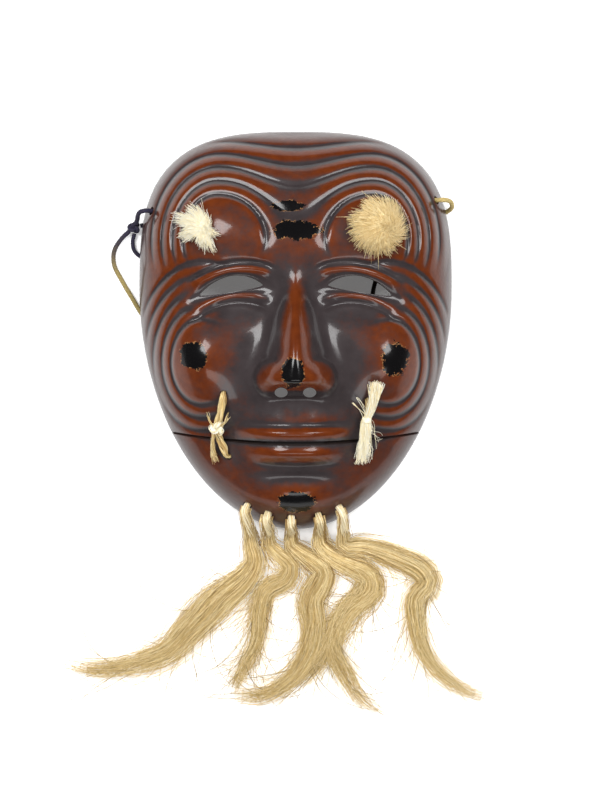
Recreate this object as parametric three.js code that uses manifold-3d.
// An old man's noh mask with a tied-on jaw, lying face up on its rim.
// Millimetres. +X is to the right as one looks at the face, +Y runs up to the
// forehead and +Z comes out of the face. The origin is on the flat back face
// of the rim, at the middle of the forehead.

import * as THREE from 'three';
import { mergeVertices } from 'three/addons/utils/BufferGeometryUtils.js';
import Module from 'manifold-3d';

const wasm = await Module();
wasm.setup();

// ---------------------------------------------------------------- sizes

// The carved wooden blank.
const MASK_WIDTH = 148;
const MASK_HEIGHT = 188;
const DOME_DEPTH = 44;
const NOSE_HEIGHT = 21;
const WALL = 6;

// The rim stands clear of the table at the temples, where the cords pass.
const RIM_ARCH_LENGTH = 92;
const RIM_ARCH_HEIGHT = 5.5;
const RIM_ARCH_MIDDLE = 31;

// The cut that frees the jaw, and the line of the two ties that it swings on.
const JAW_GAP = 1.5;
const MOUTH_GAP = 2.2;
const HINGE_HEIGHT = 36;

// Openings of the face.
const EYE_LENGTH = 29.6;
const EYE_OPENING = 7.8;
const NOSTRIL_WIDTH = 6;
const NOSTRIL_HEIGHT = 4.4;

// Hemp tufts, ties and beard. Each hole is bored to what goes through it, with
// a clearance all round.
const FIT_GAP = 0.3;
const BORE_CLEARANCE = 0.4;
const BROW_STEM = 3.4;
const BROW_TUFT_RADIUS = 12;
const BROW_TUFT_HEIGHT = 8;
const TUFT_LIFT = 1;
const THREAD = 1.2;
const TIE_STRAND = 2;
const TIE_BORE_CLEARANCE = 0.6;
const TIE_CLEARANCE = 2.2;
const BEARD_ROOT = 3.4;
const LOCK_HEIGHT = 6;
const LOCK_HALF_WIDTH = 5;

// Head cords: braided cord, and the neat coil that its spare length makes.
const CORD_DIAMETER = 2.2;
const CORD_BORE_CLEARANCE = 0.9;
const CORD_KNOT = 5.2;
const COIL_DIAMETER = 24;
const COIL_TURNS_WIDE = 3;
const COIL_TURNS_HIGH = 2;

// Fineness of the faceted solids.
const SECTORS = 56;
const FRONT_RINGS = 19;
const BACK_RINGS = 9;

// ---------------------------------------------------------------- the face

// Every place on the face is given on a canon face, 148 wide and 188 high, with
// its zero at the middle, and is stretched to the size of this mask.
const CANON_WIDTH = 148;
const CANON_HEIGHT = 188;
const STRETCH_X = MASK_WIDTH / CANON_WIDTH;
const STRETCH_Y = MASK_HEIGHT / CANON_HEIGHT;

// The outline: two superellipse halves that meet on the widest line.
const WIDEST_LINE = 20;
const FOREHEAD_POWER = 3.0;
const CHEEK_POWER = 1.95;

// Swellings and hollows of the plain dome, mirrored about the middle line.
const FEATURES = [
    { name: 'brow', x: 38, y: 50, wide: 24, high: 20, rise: 4 },
    { name: 'glabella', x: 0, y: 38, wide: 13, high: 10, rise: 2 },
    { name: 'eye socket', x: 29, y: 17, wide: 21, high: 12, rise: -9 },
    { name: 'eyelid', x: 30, y: 19, wide: 15, high: 7.5, rise: 6 },
    { name: 'cheek', x: 46, y: -16, wide: 17, high: 18, rise: 8.5 },
    { name: 'muzzle', x: 0, y: -50, wide: 25, high: 17, rise: 7 },
    { name: 'nose wing', x: 11.5, y: -23, wide: 6.5, high: 7, rise: 8.5 },
    { name: 'chin', x: 0, y: -81, wide: 18, high: 10, rise: 7 },
    { name: 'chin crease', x: 0, y: -68, wide: 18, high: 5, rise: -3 },
    { name: 'cheek hollow', x: 34, y: -52, wide: 14, high: 13, rise: -4.5 },
];

const EYE = { x: 29.6, y: 17.5, arch: 2.8, slant: 2.2 };
const NOSTRIL = { x: 6.5, y: -29.5 };
const MOUTH_Y = -53;
const MOUTH_RISE = 5;
const MOUTH_HALF_WIDTH = 28;

const gauss = (t) => Math.exp(-t * t);

function smooth(from, to, value) {
    const t = THREE.MathUtils.clamp((value - from) / (to - from), 0, 1);
    return t * t * (3 - 2 * t);
}

// How far the outline is from the centre of the widest line, at an angle.
function outlineRadius(angle, halfWidth, up, down) {
    const across = Math.abs(Math.cos(angle)) / halfWidth;
    const along = Math.abs(Math.sin(angle));
    if (Math.sin(angle) >= 0) {
        const sum = across ** FOREHEAD_POWER + (along / up) ** FOREHEAD_POWER;
        return sum ** (-1 / FOREHEAD_POWER);
    }
    return (across ** CHEEK_POWER + (along / down) ** CHEEK_POWER) ** (-1 / CHEEK_POWER);
}

const FRONT_OUTLINE = [
    CANON_WIDTH / 2,
    CANON_HEIGHT / 2 - WIDEST_LINE,
    CANON_HEIGHT / 2 + WIDEST_LINE,
];
const BACK_OUTLINE = [
    CANON_WIDTH / 2 - WALL / STRETCH_X,
    FRONT_OUTLINE[1] - WALL / STRETCH_Y,
    FRONT_OUTLINE[2] - WALL / STRETCH_Y,
];

// The share of the way out to an outline, 0 at the centre and 1 on the outline.
function shareOut(x, y, outline) {
    const angle = Math.atan2(y - WIDEST_LINE, x);
    return Math.min(1, Math.hypot(x, y - WIDEST_LINE) / outlineRadius(angle, ...outline));
}

// The jaw is cut free along this line, which is also the line of the mouth.
const cutLine = (x) => MOUTH_Y + MOUTH_RISE * (x / 60) ** 2;

function nose(x, y, height, spread) {
    const rise = smooth(36, -19, y) ** 1.25 * smooth(-33, -24, y);
    const width = spread * (5.5 + 5 * smooth(20, -18, y));
    return height * rise * gauss(x / width);
}

function lips(x, y) {
    const ax = Math.abs(x);
    const above = y - cutLine(x);
    const upper = 2.6 * gauss((above - 4.4) / 2.6) * smooth(MOUTH_HALF_WIDTH + 2, 18, ax);
    const lower = 3.2 * gauss((above + 5) / 3.4) * smooth(MOUTH_HALF_WIDTH - 1, 8, ax);
    return upper + lower;
}

// Height of the front surface over the rim, at a place on the canon face.
function frontHeight(x, y) {
    const share = shareOut(x, y, FRONT_OUTLINE);
    const depth = DOME_DEPTH + 2 * smooth(-94, 20, y) - 4 * smooth(40, 94, y);
    const dome = depth * Math.sqrt(1 - share ** 2.5);
    let relief = nose(x, y, NOSE_HEIGHT, 1) + lips(x, y);
    for (const f of FEATURES) {
        relief += f.rise * gauss((Math.abs(x) - f.x) / f.wide) * gauss((y - f.y) / f.high);
    }
    return dome + relief * (1 - share ** 9);
}

// Height of the hollowed back surface: the same form, more loosely followed.
function backHeight(x, y) {
    const share = shareOut(x, y, BACK_OUTLINE);
    const depth = DOME_DEPTH - WALL + 2 * smooth(-94, 20, y) - 4 * smooth(40, 94, y);
    const dome = depth * Math.sqrt(1 - share ** 2.5);
    let relief = nose(x, y, 0.5 * NOSE_HEIGHT, 1.1);
    for (const f of FEATURES) {
        const follow = f.rise < 0 ? 1.05 : 0.6;
        relief += follow * f.rise * gauss((Math.abs(x) - f.x) / f.wide) * gauss((y - f.y) / f.high);
    }
    return dome + relief * (1 - share ** 6);
}

const onFace = (x, y, lift = 0) =>
    new THREE.Vector3(x * STRETCH_X, y * STRETCH_Y, frontHeight(x, y) + lift);

const onBack = (x, y, drop = 0) =>
    new THREE.Vector3(x * STRETCH_X, y * STRETCH_Y, backHeight(x, y) - drop);

// The direction that the front surface faces.
function faceNormal(x, y) {
    const step = 1.5;
    const east = onFace(x + step, y).sub(onFace(x - step, y));
    const north = onFace(x, y + step).sub(onFace(x, y - step));
    return east.cross(north).normalize();
}

// ---------------------------------------------------------------- makers

function toSolid(geometry) {
    const bare = geometry.clone();
    bare.deleteAttribute('normal');
    bare.deleteAttribute('uv');
    const merged = mergeVertices(bare, 1e-4);
    return new wasm.Manifold(new wasm.Mesh({
        numProp: 3,
        vertProperties: new Float32Array(merged.attributes.position.array),
        triVerts: new Uint32Array(merged.index.array),
    }));
}

function toGeometry(solid) {
    const mesh = solid.getMesh();
    const geometry = new THREE.BufferGeometry();
    const positions = new THREE.BufferAttribute(new Float32Array(mesh.vertProperties), 3);
    geometry.setAttribute('position', positions);
    geometry.setIndex(new THREE.BufferAttribute(new Uint32Array(mesh.triVerts), 1));
    geometry.computeVertexNormals();
    return geometry;
}

// Stands a geometry made along +Y at a point, with its +Y along a direction.
function stand(geometry, point, direction) {
    const turn = new THREE.Quaternion();
    turn.setFromUnitVectors(new THREE.Vector3(0, 1, 0), direction.clone().normalize());
    geometry.applyQuaternion(turn);
    geometry.translate(point.x, point.y, point.z);
    return geometry;
}

// A drill as long as the wall is thick several times over. Its flats touch the
// circle of its diameter, so a hole is never tighter than it says.
function drill(point, direction, diameter) {
    const sides = 16;
    const radius = diameter / 2 / Math.cos(Math.PI / sides);
    return stand(new THREE.CylinderGeometry(radius, radius, 4 * WALL, sides), point, direction);
}

// A straight rod that tapers from one point to another.
function taper(from, to, fromRadius, toRadius, sides = 8) {
    const way = to.clone().sub(from);
    const rod = new THREE.CylinderGeometry(toRadius, fromRadius, way.length(), sides);
    return stand(rod, from.clone().addScaledVector(way, 0.5), way);
}

// A round tube along a smooth curve through the points.
function tube(points, diameter, sides = 8) {
    const curve = new THREE.CatmullRomCurve3(points, false, 'centripetal');
    const section = new THREE.Shape();
    for (let i = 0; i < sides; i += 1) {
        const angle = (2 * Math.PI * i) / sides;
        const across = 0.5 * diameter * Math.cos(angle);
        const up = 0.5 * diameter * Math.sin(angle);
        if (i === 0) section.moveTo(across, up);
        else section.lineTo(across, up);
    }
    const steps = Math.max(3, Math.round(curve.getLength() / (2.5 * diameter)));
    return new THREE.ExtrudeGeometry(section, { steps, bevelEnabled: false, extrudePath: curve });
}

function blob(centre, radii, wide = 12, high = 8) {
    const ball = new THREE.SphereGeometry(1, wide, high);
    ball.scale(radii.x, radii.y, radii.z);
    ball.translate(centre.x, centre.y, centre.z);
    return ball;
}

// ---------------------------------------------------------------- finishes

const finish = (color, roughness) => new THREE.MeshStandardMaterial({ color, roughness, metalness: 0 });
const LACQUER = '#5a2814';
const HEMP = '#dcc690';
const THREAD_COLOUR = '#e6d9b2';
const NAVY = '#2b2740';
const OLIVE = '#8c7c4c';

const mask = new THREE.Group();
mask.position.y = -(MASK_HEIGHT - WALL) / 2;
const object = new THREE.Group();
object.add(mask);

function add(name, geometry, color, roughness = 0.8) {
    const mesh = new THREE.Mesh(geometry, finish(color, roughness));
    mesh.name = name;
    mask.add(mesh);
    return mesh;
}

// ---------------------------------------------------------------- places

const BROW_HOLES = {
    left: { x: -42.5, y: 46 },
    right: { x: 42.5, y: 46 },
};
const CORD_HOLES = {
    left: { x: -67.5, y: 55.5 },
    right: { x: 66, y: 60.5 },
};
const TIES = {
    left: { top: { x: -33, y: -30 }, knot: { x: -34.5, y: -44 }, jaw: { x: -31, y: -59 } },
    right: { top: { x: 33, y: -33 }, knot: { x: 31, y: -40 }, jaw: { x: 29, y: -59 } },
};
// The chin holes lie on an arc that follows the edge of the chin.
const CHIN_HOLES = [-22.4, -12.8, -2, 10.6, 20.4].map((x) => ({ x, y: -87.5 + 0.011 * x * x }));

const drillAtFace = (place, diameter) =>
    drill(onFace(place.x, place.y), faceNormal(place.x, place.y), diameter);

// The cord holes run outwards through the steep side of the temple.
const cordHoleWay = (side) => new THREE.Vector3(side * 0.8, 0, 0.6).normalize();

// ---------------------------------------------------------------- shell and jaw

// A sphere is drawn out into the mask: its upper rows become the front surface,
// down to the rim, and its lower rows are pushed up inside as the hollowed back.
function carvedBlank() {
    const rows = FRONT_RINGS + 1 + BACK_RINGS;
    const blank = new THREE.SphereGeometry(1, SECTORS, rows);
    const position = blank.attributes.position;
    for (let i = 0; i < position.count; i += 1) {
        const row = Math.floor(i / (SECTORS + 1));
        const column = i % (SECTORS + 1) % SECTORS;
        const angle = (2 * Math.PI * column) / SECTORS + Math.PI;
        const isFront = row <= FRONT_RINGS;
        const share = isFront ? row / FRONT_RINGS : (rows - row) / BACK_RINGS;
        const out = 1 - (1 - share) ** (isFront ? 1.3 : 1.5);
        const outline = isFront ? FRONT_OUTLINE : BACK_OUTLINE;
        const radius = out * outlineRadius(angle, ...outline);
        const x = radius * Math.cos(angle);
        const y = WIDEST_LINE + radius * Math.sin(angle);
        const point = isFront ? onFace(x, y) : onBack(x, y);
        position.setXYZ(i, point.x, point.y, out === 1 ? 0 : point.z);
    }
    return toSolid(blank);
}

// A crescent eye slot that runs right through.
function eyeSlot(side) {
    const outline = new THREE.Shape();
    const steps = 10;
    for (let i = 0; i < 2 * steps; i += 1) {
        const t = i <= steps ? -1 + (2 * i) / steps : 3 - (2 * i) / steps;
        const half = 0.5 * EYE_OPENING * (1 - t * t) ** 0.8;
        const middle = EYE.y * STRETCH_Y + EYE.arch * (1 - t * t) - EYE.slant * t;
        const x = side * (EYE.x * STRETCH_X + 0.5 * EYE_LENGTH * t);
        const y = middle + (i <= steps ? -half : half);
        if (i === 0) outline.moveTo(x, y);
        else outline.lineTo(x, y);
    }
    return new THREE.ExtrudeGeometry(outline, { depth: 2 * DOME_DEPTH, bevelEnabled: false });
}

function nostril(side) {
    const bit = new THREE.CylinderGeometry(0.5, 0.5, 2 * DOME_DEPTH, 12);
    bit.scale(NOSTRIL_WIDTH, 1, NOSTRIL_HEIGHT);
    bit.rotateX(Math.PI / 2);
    bit.translate(side * NOSTRIL.x * STRETCH_X, NOSTRIL.y * STRETCH_Y, DOME_DEPTH);
    return bit;
}

// A long shallow arch cut up into the rim across both temples.
function rimArch() {
    const half = RIM_ARCH_LENGTH / 2;
    const outline = new THREE.Shape();
    outline.moveTo(half, -1);
    const steps = 16;
    for (let i = 0; i <= steps; i += 1) {
        const along = half - (2 * half * i) / steps;
        outline.lineTo(along, RIM_ARCH_HEIGHT * (1 - (along / half) ** 2));
    }
    outline.lineTo(-half, -1);
    const arch = new THREE.ExtrudeGeometry(outline, { depth: 2 * MASK_WIDTH, bevelEnabled: false });
    arch.translate(0, 0, -MASK_WIDTH);
    arch.rotateX(Math.PI / 2);
    arch.rotateZ(Math.PI / 2);
    arch.translate(0, RIM_ARCH_MIDDLE * STRETCH_Y, 0);
    return arch;
}

// Everything below the cut line, moved by a half gap that is wider at the mouth.
function belowCut(direction) {
    const outline = new THREE.Shape();
    const reach = CANON_WIDTH / 2 + 10;
    const steps = 24;
    outline.moveTo(-reach * STRETCH_X, -MASK_HEIGHT);
    outline.lineTo(reach * STRETCH_X, -MASK_HEIGHT);
    for (let i = 0; i <= steps; i += 1) {
        const x = reach - (2 * reach * i) / steps;
        const mouth = smooth(MOUTH_HALF_WIDTH + 6, MOUTH_HALF_WIDTH - 6, Math.abs(x));
        const gap = JAW_GAP + (MOUTH_GAP - JAW_GAP) * mouth;
        outline.lineTo(x * STRETCH_X, cutLine(x) * STRETCH_Y + 0.5 * direction * gap);
    }
    const block = new THREE.ExtrudeGeometry(outline, { depth: 3 * DOME_DEPTH, bevelEnabled: false });
    block.translate(0, 0, -DOME_DEPTH);
    return toSolid(block);
}

function faceShellAndJaw() {
    let blank = carvedBlank().subtract(toSolid(rimArch()));
    const cordHole = CORD_DIAMETER + 2 * CORD_BORE_CLEARANCE;
    const tieHole = TIE_STRAND + 2 * TIE_BORE_CLEARANCE;
    const cuts = [];
    for (const [name, side] of [['left', -1], ['right', 1]]) {
        const hole = CORD_HOLES[name];
        cuts.push(eyeSlot(side));
        cuts.push(nostril(side));
        cuts.push(drillAtFace(BROW_HOLES[name], BROW_STEM + 2 * BORE_CLEARANCE));
        cuts.push(drill(onFace(hole.x, hole.y), cordHoleWay(side), cordHole));
        cuts.push(drillAtFace(TIES[name].top, tieHole));
        cuts.push(drillAtFace(TIES[name].jaw, tieHole));
    }
    for (const place of CHIN_HOLES) {
        cuts.push(drillAtFace(place, BEARD_ROOT + 2 * BORE_CLEARANCE));
    }
    for (const cut of cuts) {
        blank = blank.subtract(toSolid(cut));
    }
    add('face_shell', toGeometry(blank.subtract(belowCut(1))), LACQUER, 0.2);
    add('lower_jaw', toGeometry(blank.intersect(belowCut(-1))), LACQUER, 0.2);
}

// ---------------------------------------------------------------- brow tufts

// A round brush of fibre whose bound stem goes through the wood, and the
// thread that binds the stem behind.
function browTuft(name) {
    const place = BROW_HOLES[name];
    const stem = BROW_STEM / 2;
    const behind = WALL + 6;
    const profile = [new THREE.Vector2(0, -behind), new THREE.Vector2(stem, -behind)];
    profile.push(new THREE.Vector2(stem, TUFT_LIFT));
    profile.push(new THREE.Vector2(0.45 * BROW_TUFT_RADIUS, TUFT_LIFT + 0.4));
    const steps = 6;
    for (let i = 0; i <= steps; i += 1) {
        const angle = (0.5 * Math.PI * i) / steps;
        const rise = (BROW_TUFT_HEIGHT - 2) * Math.sin(angle);
        const radius = i === steps ? 0 : BROW_TUFT_RADIUS * Math.cos(angle);
        profile.push(new THREE.Vector2(radius, TUFT_LIFT + 2 + rise));
    }
    const point = onFace(place.x, place.y);
    const normal = faceNormal(place.x, place.y);
    const brush = new THREE.LatheGeometry(profile, 16);
    add(`${name}_brow_tuft`, stand(brush, point, normal), HEMP, 0.9);

    const ring = [];
    const inner = stem + FIT_GAP;
    for (let i = 0; i <= 6; i += 1) {
        const angle = (2 * Math.PI * i) / 6;
        const radius = inner + 0.5 * THREAD * (1 + Math.cos(angle));
        ring.push(new THREE.Vector2(radius, THREAD * Math.sin(angle)));
    }
    ring[6].copy(ring[0]);
    const thread = new THREE.LatheGeometry(ring, 12);
    const back = point.clone().addScaledVector(normal, -behind + 1.5);
    add(`${name}_brow_thread`, stand(thread, back, normal), THREAD_COLOUR, 0.8);
}

// ---------------------------------------------------------------- jaw ties

// A point inside the wood under a place on the face.
function inWood(place, depth) {
    return onFace(place.x, place.y).addScaledVector(faceNormal(place.x, place.y), -depth);
}

function overFace(place, height) {
    return onFace(place.x, place.y).addScaledVector(faceNormal(place.x, place.y), height);
}

// A neat hemp tie: a strand out of the face, a knot over the cut, one tail that
// hangs free and one strand that comes up out of the jaw.
function neatTie(name) {
    const { top, knot, jaw } = TIES[name];
    const centre = overFace(knot, TIE_CLEARANCE + 1.8);
    const towardsTop = { x: knot.x + 0.9, y: knot.y + 5 };
    add(`${name}_tie_strand`, tube([
        inWood(top, WALL + 1),
        inWood(top, WALL / 2),
        overFace(top, 1.2),
        overFace({ x: top.x, y: top.y - 2.6 }, TIE_STRAND + 1),
        overFace(towardsTop, TIE_CLEARANCE + 0.8),
    ], TIE_STRAND), HEMP, 0.9);
    add(`${name}_tie_knot`, blob(centre, new THREE.Vector3(4, 3, 2.6)), HEMP, 0.9);
    const tail = [{ x: knot.x - 1.2, y: knot.y - 5.4 }, { x: knot.x + 1, y: knot.y - 16 }];
    add(`${name}_tie_tail`, taper(
        overFace(tail[0], TIE_CLEARANCE + 2.6),
        overFace(tail[1], TIE_CLEARANCE + 1.6),
        1.2,
        1.8,
    ), HEMP, 0.9);
    add(`${name}_tie_jaw_strand`, tube([
        inWood(jaw, WALL + 1),
        inWood(jaw, WALL / 2),
        overFace(jaw, 1.2),
        overFace({ x: jaw.x - 0.2, y: jaw.y + 2.8 }, TIE_STRAND + 0.8),
        overFace({ x: jaw.x - 0.4, y: jaw.y + 5.4 }, TIE_STRAND + 0.4),
    ], TIE_STRAND), HEMP, 0.9);
}

// A frayed hemp tie: a bundle bound at its waist, with a brush at each end, and
// the strands that hold it to the face and to the jaw.
function frayedTie(name) {
    const { top, knot, jaw } = TIES[name];
    const waist = overFace(knot, TIE_CLEARANCE + 2.4);
    add(`${name}_tie_waist`, blob(waist, new THREE.Vector3(3.2, 2.4, 3)), HEMP, 0.9);
    add(`${name}_tie_upper_brush`, taper(
        overFace({ x: knot.x + 1.2, y: knot.y + 3.4 }, TIE_CLEARANCE + 2.6),
        overFace({ x: knot.x + 5, y: knot.y + 16 }, TIE_CLEARANCE + 3),
        2,
        3.4,
    ), HEMP, 0.9);
    add(`${name}_tie_lower_brush`, taper(
        overFace({ x: knot.x - 0.8, y: knot.y - 5.6 }, TIE_CLEARANCE + 3.2),
        overFace({ x: knot.x - 2.6, y: knot.y - 20 }, TIE_CLEARANCE + 2.6),
        2,
        3,
    ), HEMP, 0.9);
    const strand = TIE_STRAND / 2;
    const stub = inWood(top, WALL + 1);
    add(`${name}_tie_strand`, taper(stub, overFace(top, 0.8), strand, strand), HEMP, 0.9);
    const jawStub = inWood(jaw, WALL + 1);
    add(`${name}_tie_jaw_strand`, taper(jawStub, overFace(jaw, 0.8), strand, strand), HEMP, 0.9);
}

// ---------------------------------------------------------------- beard

// The routes of the locks as they lie on the table, from the chin outwards.
const LOCK_ROUTES = [
    [[-21, -101], [-20.2, -108], [-21, -115], [-35, -126], [-47, -138.5],
        [-58, -149.5], [-74, -158], [-90, -161.5], [-105, -160]],
    [[-12, -101], [-8.6, -106], [-4.2, -110.5], [-5.2, -117], [-12.6, -123.5],
        [-16.4, -135], [-21, -151], [-26.8, -162.5], [-29, -170]],
    [[-1.6, -101], [1.5, -105], [7, -109], [12, -114], [9.8, -129], [5.6, -145], [4.2, -151]],
    [[11.6, -101], [17.4, -107.6], [25, -112.6], [31.6, -117.4], [33, -123], [27.4, -130.5],
        [18, -142], [9.6, -158], [1.6, -166], [-14, -172.6], [-27, -174.4]],
    [[23.6, -101], [32, -105], [44, -108], [55.5, -110.6], [62, -117], [56, -125.6],
        [55.6, -138], [59, -150], [67.6, -160.6], [78, -168.6], [88, -173]],
];

// A lock is a flat slab with round shoulders whose width swells and thins.
function lockSlab(route) {
    const points = route.map(([x, y]) => new THREE.Vector3(x * STRETCH_X, y * STRETCH_Y, 0));
    const curve = new THREE.CatmullRomCurve3(points, false, 'centripetal');
    const steps = 20;
    const leftEdge = [];
    const rightEdge = [];
    for (let i = 0; i <= steps; i += 1) {
        const t = i / steps;
        const middle = curve.getPointAt(t);
        const way = curve.getTangentAt(t);
        const half = LOCK_HALF_WIDTH * (0.3 + 0.7 * Math.sin(Math.PI * (0.06 + 0.9 * t)) ** 0.8);
        leftEdge.push(new THREE.Vector2(middle.x - way.y * half, middle.y + way.x * half));
        rightEdge.push(new THREE.Vector2(middle.x + way.y * half, middle.y - way.x * half));
    }
    const outline = new THREE.Shape(rightEdge.concat(leftEdge.reverse()));
    const slab = new THREE.ExtrudeGeometry(outline, {
        depth: LOCK_HEIGHT - 3,
        bevelThickness: 1.4,
        bevelSize: 1.4,
        bevelOffset: -1.4,
        bevelSegments: 1,
    });
    slab.translate(0, 0, 1.4 + 0.1);
    return slab;
}

// The bound root of a lock: out of its chin hole, over the edge of the chin and
// down to the start of the lock on the table.
function beardRoot(place, route) {
    const [start, next] = route.map(([x, y]) => new THREE.Vector3(x * STRETCH_X, y * STRETCH_Y, 0));
    const back = start.clone().sub(next).normalize();
    const end = start.clone().addScaledVector(back, 2 * FIT_GAP);
    end.z = LOCK_HEIGHT / 2;
    const before = end.clone().addScaledVector(back, 3);
    before.z += 0.6;
    return tube([
        inWood(place, WALL + 1),
        inWood(place, WALL / 2),
        overFace(place, 1),
        overFace(place, 3.6),
        before,
        end,
    ], BEARD_ROOT);
}

function beard() {
    CHIN_HOLES.forEach((place, i) => {
        const route = LOCK_ROUTES[i];
        add(`beard_root_${i + 1}`, beardRoot(place, route), THREAD_COLOUR, 0.8);
        add(`beard_lock_${i + 1}`, lockSlab(route), HEMP, 0.9);
    });
}

// ---------------------------------------------------------------- head cords

const points = (list) => list.map((p) => new THREE.Vector3(...p));

// Each cord is looped through its hole and round the edge of the temple, and
// knotted there; the long end runs under the rim and lies coiled in the hollow.
const LEFT_LOOP = [
    [-75.2, 50.3, 5.2], [-74.4, 52, 8.4], [-73.8, 53.8, 12.4], [-72.4, 55, 16.2], [-70.2, 55.5, 17.3],
    [-67.5, 55.5, 15.3], [-63.6, 55.5, 12.4], [-60, 55.3, 9.4], [-59.6, 54, 5.6], [-62, 52.4, 2.6],
    [-67, 50.8, 1.5], [-73.4, 49.4, 1.9],
];
const LEFT_KNOT = [-76.2, 48.6, 2.9];
const LEFT_LONG = [
    [-78.6, 46.8, 2.4], [-82.6, 43, 1.4], [-85.8, 37.4, 1.2], [-85.8, 31, 1.2], [-82.4, 24, 1.2],
    [-77.6, 15.8, 1.2], [-72.6, 7.6, 1.2], [-64.4, -2, 1.2], [-57.6, -9.6, 1.2], [-55, -17, 1.3],
];
const LEFT_TAIL = [
    [-76.2, 45.7, 1.9], [-77, 42, 1.2], [-76.4, 38, 1.2], [-73.6, 35.2, 1.2], [-68, 34, 1.2],
];
const RIGHT_LOOP = [
    [63.5, 52.9, 2.4], [67, 54.2, 1.6], [71, 55.8, 2], [73.4, 57.4, 5], [73.4, 59, 9.8],
    [72, 60.2, 14.4], [69, 60.5, 17.1], [66, 60.5, 14.9], [62.4, 60.5, 12.2], [58.6, 60.1, 9.2],
    [58, 57.8, 6.4], [59.2, 54.5, 4.4],
];
const RIGHT_KNOT = [60.4, 52, 2.9];
const RIGHT_LONG = [
    [57.9, 50.4, 2.2], [52, 45.6, 1.2], [45, 37, 1.2], [39.2, 27, 1.2], [36.4, 16, 1.2],
    [38, 6, 1.2], [44.6, -3, 1.2], [51.6, -10, 1.2], [55, -17, 1.3],
];
const COILS = { left: [-38, -22], right: [38, -22] };

function coilRing(centre) {
    const wide = 0.5 * COIL_TURNS_WIDE * CORD_DIAMETER;
    const high = COIL_TURNS_HIGH * CORD_DIAMETER;
    const middle = COIL_DIAMETER / 2;
    const corner = 0.8;
    const profile = [
        [middle - wide + corner, 0], [middle + wide - corner, 0], [middle + wide, corner],
        [middle + wide, high - corner], [middle + wide - corner, high],
        [middle - wide + corner, high], [middle - wide, high - corner], [middle - wide, corner],
        [middle - wide + corner, 0],
    ].map(([x, y]) => new THREE.Vector2(x, y));
    const ring = new THREE.LatheGeometry(profile, 24);
    ring.rotateX(Math.PI / 2);
    ring.translate(centre[0], centre[1], 0.1);
    return ring;
}

function knotBall(centre, size = CORD_KNOT) {
    return blob(new THREE.Vector3(...centre), new THREE.Vector3(size / 2, size / 2, size / 2));
}

function headCords() {
    add('left_cord_loop', tube(points(LEFT_LOOP), CORD_DIAMETER), NAVY);
    add('left_cord_knot', knotBall(LEFT_KNOT), NAVY);
    add('left_cord_long', tube(points(LEFT_LONG), CORD_DIAMETER), OLIVE);
    add('left_cord_tail', tube(points(LEFT_TAIL), CORD_DIAMETER), NAVY);
    add('right_cord_loop', tube(points(RIGHT_LOOP), CORD_DIAMETER), OLIVE);
    add('right_cord_knot', knotBall(RIGHT_KNOT), OLIVE);
    add('right_cord_long', tube(points(RIGHT_LONG), CORD_DIAMETER), OLIVE);
    for (const [name, centre] of Object.entries(COILS)) {
        add(`${name}_cord_coil`, coilRing(centre), OLIVE);
        const side = Math.sign(centre[0]);
        const end = [centre[0] - 19.2 * side, centre[1] - 6, CORD_KNOT / 2 + 0.1];
        add(`${name}_cord_end_knot`, knotBall(end), OLIVE);
    }
}

// ---------------------------------------------------------------- assembly

faceShellAndJaw();
browTuft('left');
browTuft('right');
neatTie('left');
frayedTie('right');
beard();
headCords();

// The jaw swings on a line through the knots of the two ties.
object.userData.hinge = {
    y: mask.position.y + cutLine(TIES.left.jaw.x) * STRETCH_Y,
    z: HINGE_HEIGHT,
};

export default object;
